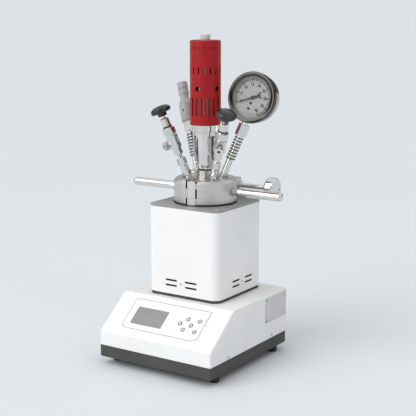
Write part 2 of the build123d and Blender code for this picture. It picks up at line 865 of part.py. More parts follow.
for side, handle_name in ((1, "handle_right"), (-1, "handle_left")):
    reach = Plane(origin=(0, reactor_y, split_height), x_dir=(0, side, 0), z_dir=(side, 0, 0))
    with BuildPart() as handle:
        spin(reach, [
            (0, spot_x - stud_length), (stud_radius, spot_x - stud_length), (stud_radius, spot_x),
            (handle_root_radius, spot_x), (handle_root_radius + 0.4, spot_x + 6),
            (handle_radius, spot_x + handle_taper), (handle_radius, handle_reach), (0, handle_reach),
        ])
        fillet(handle.edges().filter_by(GeomType.CIRCLE).sort_by(reach.location.z_axis)[-1], handle_radius * 0.7)
    finish(handle.part, handle_name)

screw_axis = Plane(origin=(0, reactor_y + screw_y, split_height), x_dir=(0, 1, 0), z_dir=(1, 0, 0))

with BuildPart() as clamp_screw:
    spin(screw_axis, [
        (0, -nose_length), (nose_radius, -nose_length), (nose_radius, ring_gap / 2), (screw_radius, ring_gap / 2 + 1),
        (screw_radius, collar_start), (collar_radius, collar_start), (collar_radius, collar_start + collar_length),
        (screw_radius, collar_start + collar_length), (screw_radius, knob_start + knob_length - 4),
        (0, knob_start + knob_length - 4),
    ])

finish(clamp_screw.part, "clamp_screw")

with BuildPart() as clamp_knob:
    knob_end = knob_start + knob_length
    spin(screw_axis, [
        (screw_radius + slip, knob_start), (12, knob_start), (knob_radius - 1, knob_start + 3),
        (knob_radius, knob_start + 5), (knob_radius, knob_end - 2), (knob_radius - 2, knob_end),
        (knob_radius - 5.5, knob_end), (knob_radius - 6.5, knob_end - 1.5), (0, knob_end - 1.5),
        (0, knob_end - 4 + slip), (screw_radius + slip, knob_end - 4 + slip),
    ])

finish(clamp_knob.part, "clamp_knob")

# ================= magnetic stirrer drive =================

with BuildPart() as isolating_can:
    # screwed neck, hexagon, shoulder and thin can turned from one bar
    bar(column, can_radius, lid_top - can_socket_depth, lid_top)
    hexagon(column, neck_flats, lid_top, neck_top)
    bar(column, can_flange_radius, neck_top, can_base)
    bar(column, can_radius, can_base, can_base + can_height)
    bar(column, can_bore, lid_top - can_socket_depth, can_base + can_height - can_wall, mode=Mode.SUBTRACT)

finish(isolating_can.part, "isolating_can")

with BuildPart() as stirrer_shaft:
    bar(column, shaft_radius, shaft_low, inner_rotor_low)
    bar(column, shaft_radius - 1, inner_rotor_low, inner_rotor_high - 4)

finish(stirrer_shaft.part, "stirrer_shaft")

with BuildPart() as inner_rotor:
    bar(column, can_bore - gap, inner_rotor_low, inner_rotor_high)
    bar(column, shaft_radius - 1 + slip, inner_rotor_low, inner_rotor_high - 4 + slip, mode=Mode.SUBTRACT)

finish(inner_rotor.part, "inner_rotor")

with BuildPart() as impeller:
    # hub with four blades pitched at 45 degrees
    hub_middle = impeller_low + impeller_height / 2
    for quarter in range(4):
        turn = radians(90 * quarter)
        blade_root = Plane(
            origin=(shaft_radius * 1.3 * cos(turn), reactor_y + shaft_radius * 1.3 * sin(turn), hub_middle),
            x_dir=(-sin(turn), cos(turn), 1),
            z_dir=(cos(turn), sin(turn), 0),
        )
        with BuildSketch(blade_root):
            Rectangle(impeller_height * 1.1, blade_thickness)
        extrude(amount=impeller_radius - shaft_radius * 1.3)
    bar(column, impeller_hub, impeller_low, impeller_low + impeller_height)
    bar(column, shaft_radius + slip, impeller_low - 1, impeller_low + impeller_height + 1, mode=Mode.SUBTRACT)

finish(impeller.part, "impeller")

with BuildPart() as coupling_housing:
    inner_top = housing_top_radius - housing_wall
    spin(column, [
        (can_radius + slip, can_base), (housing_collar, can_base), (housing_collar, can_base + housing_collar_height),
        (housing_low_radius, can_base + housing_collar_height), (housing_low_radius + 1.8, can_base + 7),
        (housing_mid_radius, can_base + 31), (housing_top_radius, housing_flange_low - 6),
        (housing_top_radius, housing_flange_low), (housing_flange_radius - 0.6, housing_flange_low),
        (housing_flange_radius, housing_flange_low + 0.6), (housing_flange_radius, housing_flange_high),
        (cover_radius - cover_thickness - slip, housing_flange_high),
        (cover_radius - cover_thickness - slip, housing_flange_high + cover_spigot),
        (12 + slip, housing_flange_high + cover_spigot), (12 + slip, housing_flange_low),
        (inner_top, housing_flange_low), (inner_top, can_base + 31), (rotor_radius + gap, can_base + 12),
        (rotor_radius + gap, can_base + housing_floor), (can_radius + slip, can_base + housing_floor),
    ])
    for quarter in range(4):
        turn = radians(window_angle + 90 * quarter)
        window = Plane(
            origin=(0, reactor_y, can_base + window_rise + window_height / 2),
            x_dir=(-sin(turn), cos(turn), 0),
            z_dir=(cos(turn), sin(turn), 0),
        )
        with BuildSketch(window):
            SlotOverall(window_height, window_width, rotation=90)
        extrude(amount=housing_flange_radius, mode=Mode.SUBTRACT)

finish(coupling_housing.part, "coupling_housing")

with BuildPart() as outer_rotor:
    # magnet cup that turns round the can, with its drive spindle
    spin(column, [
        (rotor_inner, outer_rotor_low), (rotor_radius, outer_rotor_low), (rotor_radius, outer_rotor_high),
        (spindle_radius, outer_rotor_high), (spindle_radius, housing_flange_high + 30),
        (0, housing_flange_high + 30), (0, outer_rotor_high - 4), (rotor_inner, outer_rotor_high - 4),
    ])

finish(outer_rotor.part, "outer_rotor")

with BuildPart() as drive_motor:
    motor_low = housing_flange_high + cover_spigot
    spin(column, [
        (spindle_radius + slip, housing_flange_low + 1), (12, housing_flange_low + 1), (12, motor_low),
        (motor_radius, motor_low), (motor_radius, motor_top), (motor_radius - 5, motor_top),
        (motor_radius - 5, motor_top + 5), (0, motor_top + 5), (0, housing_flange_high + 30 + gap),
        (spindle_radius + slip, housing_flange_high + 30 + gap),
    ])

finish(drive_motor.part, "drive_motor")


def around(angle, height):
    # A plane at a height on the column, its z axis pointing out towards an angle.
    turn = radians(angle)
    return Plane(
        origin=(0, reactor_y, height), x_dir=(-sin(turn), cos(turn), 0), z_dir=(cos(turn), sin(turn), 0)
    )


with BuildPart() as motor_cover:
    bar(column, cover_radius, housing_flange_high, cover_top)
    fillet(motor_cover.edges().sort_by(Axis.Z)[-1], 3.4)
    bar(column, cover_radius - cover_thickness, housing_flange_high, cover_top - cover_thickness, mode=Mode.SUBTRACT)
    bar(column, 6 + slip, cover_top - 5, cover_top + 1, mode=Mode.SUBTRACT)
    pitch = 360 / vents_round
    for step in range(vents_round):
        with BuildSketch(around(short_angle + pitch * step, cover_top - small_hole_drop)) as small_hole:
            RegularPolygon(small_hole_radius, 8)
        extrude(small_hole.sketch, amount=cover_radius + 2, mode=Mode.SUBTRACT)
        with BuildSketch(around(short_angle + pitch * step, cover_top - short_slot_drop)) as short_vent:
            Rectangle(*short_slot)
        extrude(short_vent.sketch, amount=cover_radius + 2, mode=Mode.SUBTRACT)
        with BuildSketch(around(long_angle + pitch * step, housing_flange_high + long_slot_rise)) as long_vent:
            Rectangle(*long_slot)
        extrude(long_vent.sketch, amount=cover_radius + 2, mode=Mode.SUBTRACT)
    for angle in side_hole_angles:
        bar(around(angle, housing_flange_high + side_hole_rise), side_hole_radius, 0, cover_radius + 2, mode=Mode.SUBTRACT)

finish(motor_cover.part, "motor_cover")

with BuildPart() as motor_connector:
    spin(column, [
        (0, cover_top - 5), (6, cover_top - 5), (6, cover_top), (connector_radius - 0.8, cover_top),
        (connector_radius - 0.8, cover_top + 2), (connector_radius, cover_top + 2),
        (connector_radius, cover_top + connector_height - 0.6), (connector_radius - 0.6, cover_top + connector_height),
        (connector_radius - 2.2, cover_top + connector_height), (connector_radius - 2.2, cover_top + 7.5),
        (0, cover_top + 7.5),
    ])

finish(motor_connector.part, "motor_connector")

# ================= needle valves =================

for valve_name, angle, turn in (("left_valve", left_port, branch_turn), ("right_valve", right_port, -branch_turn)):
    axis = port_plane(angle)
    out = axis.x_dir * cos(radians(turn)) + axis.y_dir * sin(radians(turn))
    branch = Plane(axis.from_local_coords((0, 0, branch_height)), x_dir=axis.z_dir, z_dir=out)
    with BuildPart() as valve_body:
        # screwed end, union nuts and tube
        spin(axis, [
            (0, -port_depth), (thread_radius, -port_depth), (thread_radius, 12), (7.2, 12), (7.2, 22), (5.5, 22),
            (5.5, 24), (5, 36), (4.6, 44), (4.6, 57), (0, 57),
        ])
        hexagon(axis, 15, 4.5, 12)
        hexagon(axis, 14.5, 24.5, 36)
        hexagon(axis, 13.5, 44, 56)
        # square-shouldered body, gland nut, groove and stem guard
        hexagon(axis, 18.4, 56, 79)
        hexagon(axis, 19, 81, 93)
        spin(axis, [
            (0, 78), (8, 79), (8, 94.5), (5.6, 94.5), (5.6, 97), (7.6, 97), (7.6, guard_top - 1.5),
            (6.1, guard_top), (0, guard_top),
        ])
        # side outlet with its hexagon end
        bar(branch, 5.2, 0, branch_reach - 7)
        hexagon(branch, 13.4, branch_reach - 8.5, branch_reach)
        bar(branch, branch_bore, valve_bore_radius, branch_reach + 1, mode=Mode.SUBTRACT)
        bar(axis, duct_radius, -port_depth - 1, valve_seat, mode=Mode.SUBTRACT)
        bar(axis, valve_bore_radius, valve_seat, guard_top + 1, mode=Mode.SUBTRACT)
    finish(valve_body.part, f"{valve_name}_body")

    with BuildPart() as valve_stem:
        spin(axis, [
            (0, valve_seat + gap), (1.5, valve_seat + gap), (valve_stem_radius, valve_seat + 5),
            (valve_stem_radius, grip_low + 3), (0, grip_low + 3),
        ])
    finish(valve_stem.part, f"{valve_name}_stem")

    with BuildPart() as valve_knob:
        spin(axis, [
            (valve_stem_radius + slip, hub_low), (hub_radius, hub_low), (hub_radius, grip_low),
            (grip_radius - 2.2, grip_low), (grip_radius - 0.4, grip_low + 1.6), (grip_radius, grip_low + grip_rim / 2),
            (grip_radius - 0.4, grip_low + grip_rim), (grip_radius - 2.4, grip_low + grip_rim + 2),
            (grip_radius * 0.6, grip_low + grip_height - 1), (grip_radius * 0.3, grip_low + grip_height - 0.2),
            (0, grip_low + grip_height), (0, grip_low + 3 + slip), (valve_stem_radius + slip, grip_low + 3 + slip),
        ])
    finish(valve_knob.part, f"{valve_name}_knob")

# ================= pressure gauge =================


def finned(low, top_radius, top):
    # Half outline of a cooling stem: screwed end, plain neck, fins, then a shank up to the top.
    points = [(0, -port_depth), (thread_radius, -port_depth), (thread_radius, 2), (6, 3), (6, low - 3)]
    for step in range(fin_count):
        fin_low = low + step * fin_pitch
        points += [(fin_core, fin_low), (fin_radius, fin_low), (fin_radius, fin_low + fin_thickness),
                   (fin_core, fin_low + fin_thickness)]
    points += [(fin_core, top - 1), (top_radius, top - 1), (top_radius, top), (0, top)]
    return points


gauge_axis = port_plane(gauge_port)
heading = Vector(cos(radians(gauge_heading)), sin(radians(gauge_heading)), 0)
facing = (heading - gauge_axis.z_dir * heading.dot(gauge_axis.z_dir)).normalized()
gauge_middle = gauge_axis.from_local_coords((0, 0, gauge_height))
dial_face = Plane(gauge_middle + facing * gauge_forward, x_dir=gauge_axis.z_dir.cross(facing), z_dir=facing)
gauge_fins_high = gauge_fins_low + fin_count * fin_pitch
gauge_hex_high = gauge_height - case_radius - 7.5
gauge_entry = gauge_height - case_radius + 6.5

with BuildPart() as gauge_stem:
    spin(gauge_axis, finned(gauge_fins_low, 5.5, gauge_entry))
    hexagon(gauge_axis, 17.8, gauge_fins_high, gauge_hex_high)
    bar(gauge_axis, 5.5, gauge_hex_high, gauge_entry)

finish(gauge_stem.part, "gauge_stem")

case_inner = case_radius - case_wall

with BuildPart() as gauge_case:
    spin(dial_face, [
        (0, -case_depth), (case_radius - 4, -case_depth), (case_radius - 1.2, -case_depth + 1.2),
        (case_radius, -case_depth + 4), (case_radius, -glass_thickness), (case_inner, -glass_thickness),
        (case_inner, -dial_depth - dial_thickness), (case_inner - 2, -dial_depth - dial_thickness),
        (case_inner - 2, -case_depth + case_wall), (0, -case_depth + case_wall),
    ])
    bar(gauge_axis, 5.5 + slip, gauge_hex_high, gauge_entry, mode=Mode.SUBTRACT)

finish(gauge_case.part, "gauge_case")

with BuildPart() as gauge_bezel:
    spin(dial_face, [
        (case_radius + slip, -bezel_depth), (bezel_radius - 0.6, -bezel_depth), (bezel_radius, -bezel_depth + 0.6),
        (bezel_radius, -2), (bezel_radius - 0.6, -0.6), (bezel_radius - 2, 0), (bezel_radius - bezel_rim, 0),
        (bezel_radius - bezel_lip, -glass_thickness + 0.6), (bezel_radius - bezel_lip, -glass_thickness),
        (case_radius + slip, -glass_thickness),
    ])

finish(gauge_bezel.part, "gauge_bezel")

with BuildPart() as gauge_glass:
    bar(dial_face, case_inner - slip, -2 * glass_thickness, -glass_thickness)

finish(gauge_glass.part, "gauge_glass")

with BuildPart() as gauge_dial:
    bar(dial_face, case_inner - slip, -dial_depth - dial_thickness, -dial_depth)
    bar(dial_face, pointer_pin + 0.5, -dial_depth - dial_thickness - 1, 0, mode=Mode.SUBTRACT)

finish(gauge_dial.part, "gauge_dial")

with BuildPart() as gauge_movement:
    # socket block, curved pressure tube, plate with the pointer's bearing, and the link between them
    tube_depth = -20.0
    with BuildSketch(dial_face.offset(tube_depth - 5)):
        with Locations((0, gauge_entry - gauge_height + 5)):
            Rectangle(15, 10)
    extrude(amount=10)
    with BuildSketch(dial_face.offset(tube_depth)) as tube_route:
        Circle(26)
        Circle(23, mode=Mode.SUBTRACT)
        with Locations((14, -16)):
            Rectangle(18, 22, mode=Mode.SUBTRACT)
    extrude(tube_route.sketch, amount=4, both=True)
    with BuildSketch(dial_face.offset(tube_depth + 3)):
        Rectangle(10, 56)
        with Locations((12, 0)):
            Rectangle(26, 4)
    extrude(amount=3)
    bar(dial_face, 4, tube_depth + 3, -dial_depth - dial_thickness - gap)
    bar(dial_face, pointer_pin + slip, tube_depth + 4, 0, mode=Mode.SUBTRACT)

finish(gauge_movement.part, "gauge_movement")

with BuildPart() as gauge_pointer:
    pointer_level = -dial_depth + 1.2
    aim = radians(pointer_zero)
    aim_x = dial_face.x_dir * cos(aim) + dial_face.y_dir * sin(aim)
    pointer_plane = Plane(dial_face.origin, x_dir=aim_x, z_dir=dial_face.z_dir)
    with BuildSketch(pointer_plane.offset(pointer_level)):
        with BuildLine():
            Polyline(
                (pointer_length, 0.25), (3, 1.5), (-pointer_tail, 1.6), (-pointer_tail, -1.6), (3, -1.5),
                (pointer_length, -0.25), close=True,
            )
        make_face()
        with Locations((-pointer_tail, 0)):
            Circle(3.2)
        with Locations((-pointer_tail - 2, 0)):
            Circle(2.4, mode=Mode.SUBTRACT)
        Circle(3.4)
    extrude(amount=0.8)
    bar(dial_face, pointer_pin, tube_depth + 4 + gap, pointer_level + 0.8)

finish(gauge_pointer.part, "gauge_pointer")

# ================= pressure sensor and plugs =================

sensor_axis = port_plane(sensor_port)
sensor_plug_low = sensor_body_high + 4

with BuildPart() as sensor_stem:
    spin(sensor_axis, finned(sensor_fins_low, 6, sensor_body_low))
    hexagon(sensor_axis, 17, sensor_hex_low, sensor_body_low)

finish(sensor_stem.part, "sensor_stem")

with BuildPart() as sensor_body:
    spin(sensor_axis, [
        (0, sensor_body_low), (sensor_radius - 0.6, sensor_body_low), (sensor_radius, sensor_body_low + 1),
        (sensor_radius, sensor_body_high - 12), (8.2, sensor_body_high - 3), (8.2, sensor_plug_low),
        (sensor_plug_radius - 0.8, sensor_plug_low), (sensor_plug_radius, sensor_plug_low + 1),
        (sensor_plug_radius, sensor_plug_low + 9), (sensor_plug_radius - 0.9, sensor_plug_low + 9.6),
        (sensor_plug_radius - 0.9, sensor_plug_low + 11.4), (sensor_plug_radius, sensor_plug_low + 12),
        (sensor_plug_radius, sensor_top - 1.5), (sensor_plug_radius - 1.5, sensor_top), (0, sensor_top),
    ])
    trim_turn = radians(-126)
    trim_out = sensor_axis.x_dir * cos(trim_turn) - sensor_axis.y_dir * sin(trim_turn)
    trim_screw = Plane(sensor_axis.from_local_coords((0, 0, 118)), x_dir=sensor_axis.z_dir, z_dir=trim_out)
    bar(trim_screw, 2.1, sensor_radius - 3, sensor_radius + 2, mode=Mode.SUBTRACT)

finish(sensor_body.part, "sensor_body")

with BuildPart() as port_plugs:
    for angle in (front_port, rear_port):
        plug = port_plane(angle)
        bar(plug, thread_radius, -port_depth, 6)
        hexagon(plug, 13, 4.5, 12)
        spin(plug, [(0, 12), (6, 12), (6, 18), (5, 19), (0, 19)])

finish(port_plugs.part, "port_plugs")
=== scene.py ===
from math import cos, pi, radians, sin

import bmesh
import bpy
from mathutils import Matrix, Vector


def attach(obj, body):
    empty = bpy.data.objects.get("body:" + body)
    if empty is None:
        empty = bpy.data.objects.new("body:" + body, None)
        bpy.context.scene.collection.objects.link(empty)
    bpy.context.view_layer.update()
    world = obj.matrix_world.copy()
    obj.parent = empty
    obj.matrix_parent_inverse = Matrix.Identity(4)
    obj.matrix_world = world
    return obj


# Looks of the bench hydrothermal reactor. Metres, +Z up, control panel towards -Y.

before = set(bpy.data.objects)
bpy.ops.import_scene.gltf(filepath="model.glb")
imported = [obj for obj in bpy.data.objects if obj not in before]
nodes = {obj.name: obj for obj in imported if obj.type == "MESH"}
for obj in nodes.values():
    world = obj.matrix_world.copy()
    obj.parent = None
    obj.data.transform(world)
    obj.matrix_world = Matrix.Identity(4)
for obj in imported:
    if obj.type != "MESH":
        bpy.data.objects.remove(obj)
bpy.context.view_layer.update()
mm = 0.001


def frameAt(origin, xDir, zDir):
    # a local frame with its origin in millimetres, as a matrix
    x, z = Vector(xDir).normalized(), Vector(zDir).normalized()
    y = z.cross(x)
    rows = [[x[i], y[i], z[i], origin[i] * mm] for i in range(3)] + [[0, 0, 0, 1]]
    return Matrix(rows)


# ---- the axes that pieces are turned about or printed on, in millimetres and degrees ----
column = {"y": 34.4, "lidTop": 316.6, "split": 296.6, "screwOut": 66, "hinge": (5.834, -12.438, 0)}
port = {"radius": 29.5, "lean": radians(22.5)}
portAngles = {"gauge": 30, "sensor": 150, "left": 210, "right": -30}
slope = {"foot": (0, -123.8, 59.25), "run": 71.2, "rise": 55.15}
gauge = {"height": 150, "forward": 20, "heading": radians(-88)}
nameplateCentre = (115, 85.7, 87.7)
inletFace = (60, 118.8, 74)


def portFrame(angle):
    turn = radians(angle)
    out = Vector((cos(turn), sin(turn), 0))
    up = Vector((0, 0, 1))
    origin = out * port["radius"] + Vector((0, column["y"], column["lidTop"]))
    across = out * cos(port["lean"]) - up * sin(port["lean"])
    return frameAt(origin, across, out * sin(port["lean"]) + up * cos(port["lean"]))


def shifted(base, x=0.0, y=0.0, z=0.0):
    return base @ Matrix.Translation((x * mm, y * mm, z * mm))


columnFrame = frameAt((0, column["y"], 0), (1, 0, 0), (0, 0, 1))
lidFrame = frameAt((0, column["y"], column["lidTop"]), (1, 0, 0), (0, 0, 1))
hingeFrame = frameAt(column["hinge"], (1, 0, 0), (0, 0, 1))
handleFrame = frameAt((0, column["y"], column["split"]), (0, 1, 0), (1, 0, 0))
screwFrame = frameAt((0, column["y"] + column["screwOut"], column["split"]), (0, 1, 0), (1, 0, 0))
slopeAngle = Vector((slope["run"], slope["rise"])).angle_signed(Vector((1, 0)))
slopeFrame = frameAt(slope["foot"], (1, 0, 0), (0, -sin(slopeAngle), cos(slopeAngle)))
sideFrame = frameAt(nameplateCentre, (0, 1, 0), (1, 0, 0))
inletFrame = frameAt(inletFace, (-1, 0, 0), (0, 1, 0))
ports = {name: portFrame(angle) for name, angle in portAngles.items()}

gaugeAxis = ports["gauge"].col[2].to_3d()
heading = Vector((cos(gauge["heading"]), sin(gauge["heading"]), 0))
facing = (heading - gaugeAxis * heading.dot(gaugeAxis)).normalized()
gaugeHub = ports["gauge"] @ Vector((0, 0, gauge["height"] * mm)) + facing * gauge["forward"] * mm
dialFrame = frameAt(gaugeHub / mm, gaugeAxis.cross(facing), facing)

# ---- material helpers ----


def toLinear(hexText):
    channels = [int(hexText[i:i + 2], 16) / 255 for i in (1, 3, 5)]
    return [c / 12.92 if c <= 0.04045 else ((c + 0.055) / 1.055) ** 2.4 for c in channels] + [1]


def feed(node, inputs):
    # sets each input to a value or a hex colour, or wires it to the socket given
    for key, value in inputs.items():
        live = [socket for socket in node.inputs if socket.enabled and socket.name == key]
        socket = live[0] if live else node.inputs[key]
        if isinstance(value, bpy.types.NodeSocket):
            node.id_data.links.new(value, socket)
        else:
            socket.default_value = toLinear(value) if isinstance(value, str) else value


def addNode(tree, kind, inputs=None, output=None, **settings):
    # one node with its own settings and inputs; gives back the output named, or the first live one
    node = tree.nodes.new(kind)
    for key, value in settings.items():
        setattr(node, key, value)
    feed(node, inputs or {})
    return node.outputs[output] if output else [socket for socket in node.outputs if socket.enabled][0]


def newMaterial(name, sockets):
    mat = bpy.data.materials.new(name)
    mat.use_nodes = True
    shader = mat.node_tree.nodes["Principled BSDF"]
    feed(shader, sockets)
    return mat, mat.node_tree, shader


def varied(tree, vector, size, low, high, detail=2.0):
    # a smooth value between low and high that changes over a size in millimetres; the noise itself
    # seldom leaves 0.3 to 0.7
    cloud = {"Vector": vector, "Scale": 1 / (size * mm), "Detail": detail}
    noise = addNode(tree, "ShaderNodeTexNoise", cloud)
    spread = {"Value": noise, "From Min": 0.3, "From Max": 0.7, "To Min": low, "To Max": high}
    return addNode(tree, "ShaderNodeMapRange", spread)


def dressed(tree, shader, look, tone, rough, height):
    # colour, gloss and fine relief, on edges that catch the light over a small radius
    soft = addNode(tree, "ShaderNodeBevel", {"Radius": look["edge"] * mm}, samples=6)
    relief = {"Height": height, "Strength": look["depth"], "Distance": look["relief"] * mm, "Normal": soft}
    bump = addNode(tree, "ShaderNodeBump", relief)
    feed(shader, {"Base Color": tone, "Roughness": rough, "Normal": bump})


coatBase = {"ior": 1.5, "coat": 0.0, "coatRough": 0.12, "level": 0.5, "edge": 0.5, "glossShare": 0.6,
            "glossSpread": 0.04, "reliefShare": 0.1}
plasticBase = {**coatBase, "edge": 0.4, "glossShare": 4, "glossSpread": 0.05, "reliefShare": 0.2}


def grained(name, look, glossSize):
    # tone drifts over the patch size, gloss over its own size, and the grain stands up a little
    look["relief"] = look["grain"] * look["reliefShare"]
    mat, tree, shader = newMaterial(name, {"IOR": look["ior"], "Specular IOR Level": look["level"],
                                           "Coat Weight": look["coat"], "Coat Roughness": look["coatRough"]})
    spot = addNode(tree, "ShaderNodeTexCoord", output="Object")
    tones = {"Factor": varied(tree, spot, look["patch"], 0, 1), "A": look["dark"], "B": look["light"]}
    tone = addNode(tree, "ShaderNodeMix", tones, data_type="RGBA")
    dullest, glossiest = look["rough"] + look["glossSpread"], look["rough"] - look["glossSpread"]
    gloss = varied(tree, spot, glossSize, glossiest, dullest)
    dressed(tree, shader, look, tone, gloss, varied(tree, spot, look["grain"], 0, 1, 1.0))
    return mat


def coated(name, look):
    # sprayed and baked coats: fine orange peel, slight change of gloss and tone over the sheet
    look = {**coatBase, **look}
    return grained(name, look, look["patch"] * look["glossShare"])


def moulded(name, look):
    # plastic and rubber: a spark-eroded mould leaves a fine even grain
    look = {**plasticBase, **look}
    return grained(name, look, look["grain"] * look["glossShare"])


def aroundAxis(tree, spot, axis):
    # distance from the frame's z axis, and height along it
    back = axis.inverted()
    turn = {"Vector": spot, "Location": back.translation, "Rotation": back.to_euler()}
    local = addNode(tree, "ShaderNodeMapping", turn)
    split = addNode(tree, "ShaderNodeSeparateXYZ", {"Vector": local}).node.outputs
    flat = addNode(tree, "ShaderNodeCombineXYZ", {"X": split["X"], "Y": split["Y"]})
    return addNode(tree, "ShaderNodeVectorMath", {0: flat}, operation="LENGTH"), split["Z"]


metalBase = {"edge": 0.4, "reliefShare": 0.05, "skin": 0.14}


def turnedMetal(name, look, axis):
    # turned on a lathe: fine rings round the axis, drawn coarser than real tool marks so that they show
    look = {**metalBase, **look, "relief": look["pitch"] * metalBase["reliefShare"]}
    mat, tree, shader = newMaterial(name, {"Metallic": 1.0})
    spot = addNode(tree, "ShaderNodeTexCoord", output="Object")
    radius, height = aroundAxis(tree, spot, axis)
    rings = addNode(tree, "ShaderNodeCombineXYZ", {"X": radius, "Z": height})
    cut = varied(tree, rings, look["pitch"], 0, 1, 3.0)
    worn = varied(tree, spot, look["patch"], -look["wear"], look["wear"])
    rough = addNode(tree, "ShaderNodeMapRange", {"Value": cut, "To Min": look["rough"] - look["spread"],
                                                 "To Max": look["rough"] + look["spread"]})
    gloss = addNode(tree, "ShaderNodeMath", {0: rough, 1: worn}, operation="ADD", use_clamp=True)
    tones = {"Factor": cut, "A": look["dark"], "B": look["light"]}
    tone = addNode(tree, "ShaderNodeMix", tones, data_type="RGBA")
    paintedShade = None
    if "fins" in look:
        # painted shade: the thin cooling discs are darkened outside the core, where shade falls between them
        low, high, core = [edge * mm for edge in look["fins"]]
        middle = {0: height, 1: (low + high) / 2, 2: (high - low) / 2}
        along = addNode(tree, "ShaderNodeMath", middle, operation="COMPARE")
        beyond = addNode(tree, "ShaderNodeMath", {0: radius, 1: core}, operation="GREATER_THAN")
        paintedShade = addNode(tree, "ShaderNodeMath", {0: along, 1: beyond}, operation="MULTIPLY")
    if "joint" in look:
        # painted shade: the faces of the hinge joint are painted near black for the shade in its gap; they
        # lie on two cylinders round the pin
        pin, inner, outer = look["joint"]
        middle = {0: aroundAxis(tree, spot, pin)[0], 1: (inner + outer) / 2 * mm}
        off = addNode(tree, "ShaderNodeMath", middle, operation="SUBTRACT")
        away = addNode(tree, "ShaderNodeMath", {0: off}, operation="ABSOLUTE")
        onFace = {0: away, 1: (outer - inner) / 2 * mm, 2: look["skin"] * mm}
        paintedShade = addNode(tree, "ShaderNodeMath", onFace, operation="COMPARE")
    # the tone turns to the painted shade colour where the mask is set
    if paintedShade:
        tones = {"Factor": paintedShade, "A": tone, "B": look["paintedShade"]}
        tone = addNode(tree, "ShaderNodeMix", tones, data_type="RGBA")
    dressed(tree, shader, look, tone, gloss, cut)
    return mat


# ---- materials: tones as hex colours, patch, grain, pitch and edge in millimetres ----
# powder-coated steel sheet: close to white, softly glossy, peel about 1.2 mm across
whiteCoat = coated("powderCoatWhite", {"dark": "#F0F0EF", "light": "#F5F5F4", "rough": 0.38, "patch": 60,
                                       "grain": 1.2, "depth": 0.12, "coat": 0.15, "edge": 0.8})
# textured powder coat on the tray: dull dark grey with a coarse grain
greyTrayCoat = coated("powderCoatDarkGrey", {"dark": "#413F3D", "light": "#484643", "rough": 0.55,
                                             "patch": 40, "grain": 0.9, "depth": 0.35, "edge": 0.8})
# stoved enamel on rolled sheet: an even deep red with a soft sheen
redCoat = coated("stovedRedEnamel", {"dark": "#9E0E12", "light": "#A81216", "rough": 0.4, "patch": 30,
                                     "grain": 1.0, "depth": 0.12, "edge": 0.5, "level": 0.3})
# baked enamel: mid grey, flat, a little gloss
greyPlateCoat = coated("greyBakedEnamel", {"dark": "#919191", "light": "#999999", "rough": 0.4, "patch": 40,
                                           "grain": 1.0, "depth": 0.1, "coat": 0.1})
sensorCoat = coated("greySensorEnamel", {"dark": "#A3A7A8", "light": "#ADB0B1", "rough": 0.38, "patch": 12,
                                         "grain": 0.8, "depth": 0.1, "coat": 0.1})
# anodised sheet: pale satin grey, almost without grain
plateMetal = coated("anodisedAluminiumPlate", {"dark": "#CDCDCD", "light": "#D5D5D5", "rough": 0.34,
                                               "patch": 18, "grain": 0.6, "depth": 0.1, "edge": 0.3})

# stainless steel as turned: pale grey with streaks of soft light round the axis
satinLook = {"dark": "#C8C6C3", "light": "#D8D6D3", "rough": 0.32, "spread": 0.05, "wear": 0.04, "pitch": 0.9,
             "patch": 14, "depth": 0.15}
# the same steel blasted with glass beads: duller and more even, with near black painted shade on the faces of
# the hinge joint
ringLook = {**satinLook, "dark": "#D0CECB", "light": "#D9D7D4", "rough": 0.42, "spread": 0.03, "depth": 0.08,
            "joint": (hingeFrame, 10.8, 12.6), "paintedShade": "#0C0C0C"}
# the same steel polished: sharp bright and dark streaks
brightLook = {"dark": "#D6D4D1", "light": "#E4E2DF", "rough": 0.16, "spread": 0.04, "wear": 0.03,
              "pitch": 1.1, "patch": 10, "depth": 0.07}
# the finned stems: the discs run from 36 to 80 mm up, outside a core of 5.8 mm radius, and are painted darker
# there as shade between them
finLook = {**brightLook, "fins": (36, 80, 5.8), "paintedShade": "#6E6A66"}
satinColumn = turnedMetal("turnedStainlessColumn", satinLook, columnFrame)
satinRing = turnedMetal("glassBlastedStainlessRing", ringLook, columnFrame)
satinPlain = turnedMetal("turnedStainlessPlain", satinLook, lidFrame)
brightColumn = turnedMetal("polishedStainlessColumn", brightLook, columnFrame)
brightHandle = turnedMetal("polishedStainlessHandle", brightLook, handleFrame)
brightScrew = turnedMetal("polishedStainlessScrew", brightLook, screwFrame)
portLooks = {"gauge": finLook, "sensor": finLook, "left": brightLook, "right": brightLook}
portMetal = {name: turnedMetal("turnedStainless" + name.capitalize(), look, ports[name])
             for name, look in portLooks.items()}
# the gauge's case and its dark chromed rim: mirror-like, greyer than the fittings
caseLook = {**brightLook, "dark": "#B4B1AE", "light": "#C4C1BE"}
bezelLook = {**brightLook, "dark": "#474340", "light": "#55514E"}
caseMetal = turnedMetal("polishedStainlessCase", caseLook, dialFrame)
bezelMetal = turnedMetal("darkChromedBezel", bezelLook, dialFrame)
# inner metals: zinc is bluish and dull, nickel pale, milled aluminium cool grey, brass yellow
zincLook = {**satinLook, "dark": "#8E8F90", "light": "#A2A3A4"}
nickelLook = {**satinLook, "dark": "#B0B0AF", "light": "#C4C4C3"}
aluminiumLook = {**satinLook, "dark": "#A0A2A4", "light": "#B4B6B8"}
brassLook = {**satinLook, "dark": "#A88A4A", "light": "#BFA15C"}
zincSheet = turnedMetal("zincPlatedSheet", zincLook, columnFrame)
magnetMetal = turnedMetal("nickelPlatedMagnet", nickelLook, columnFrame)
blockMetal = turnedMetal("milledAluminium", aluminiumLook, columnFrame)
brassMetal = turnedMetal("turnedBrass", brassLook, dialFrame)

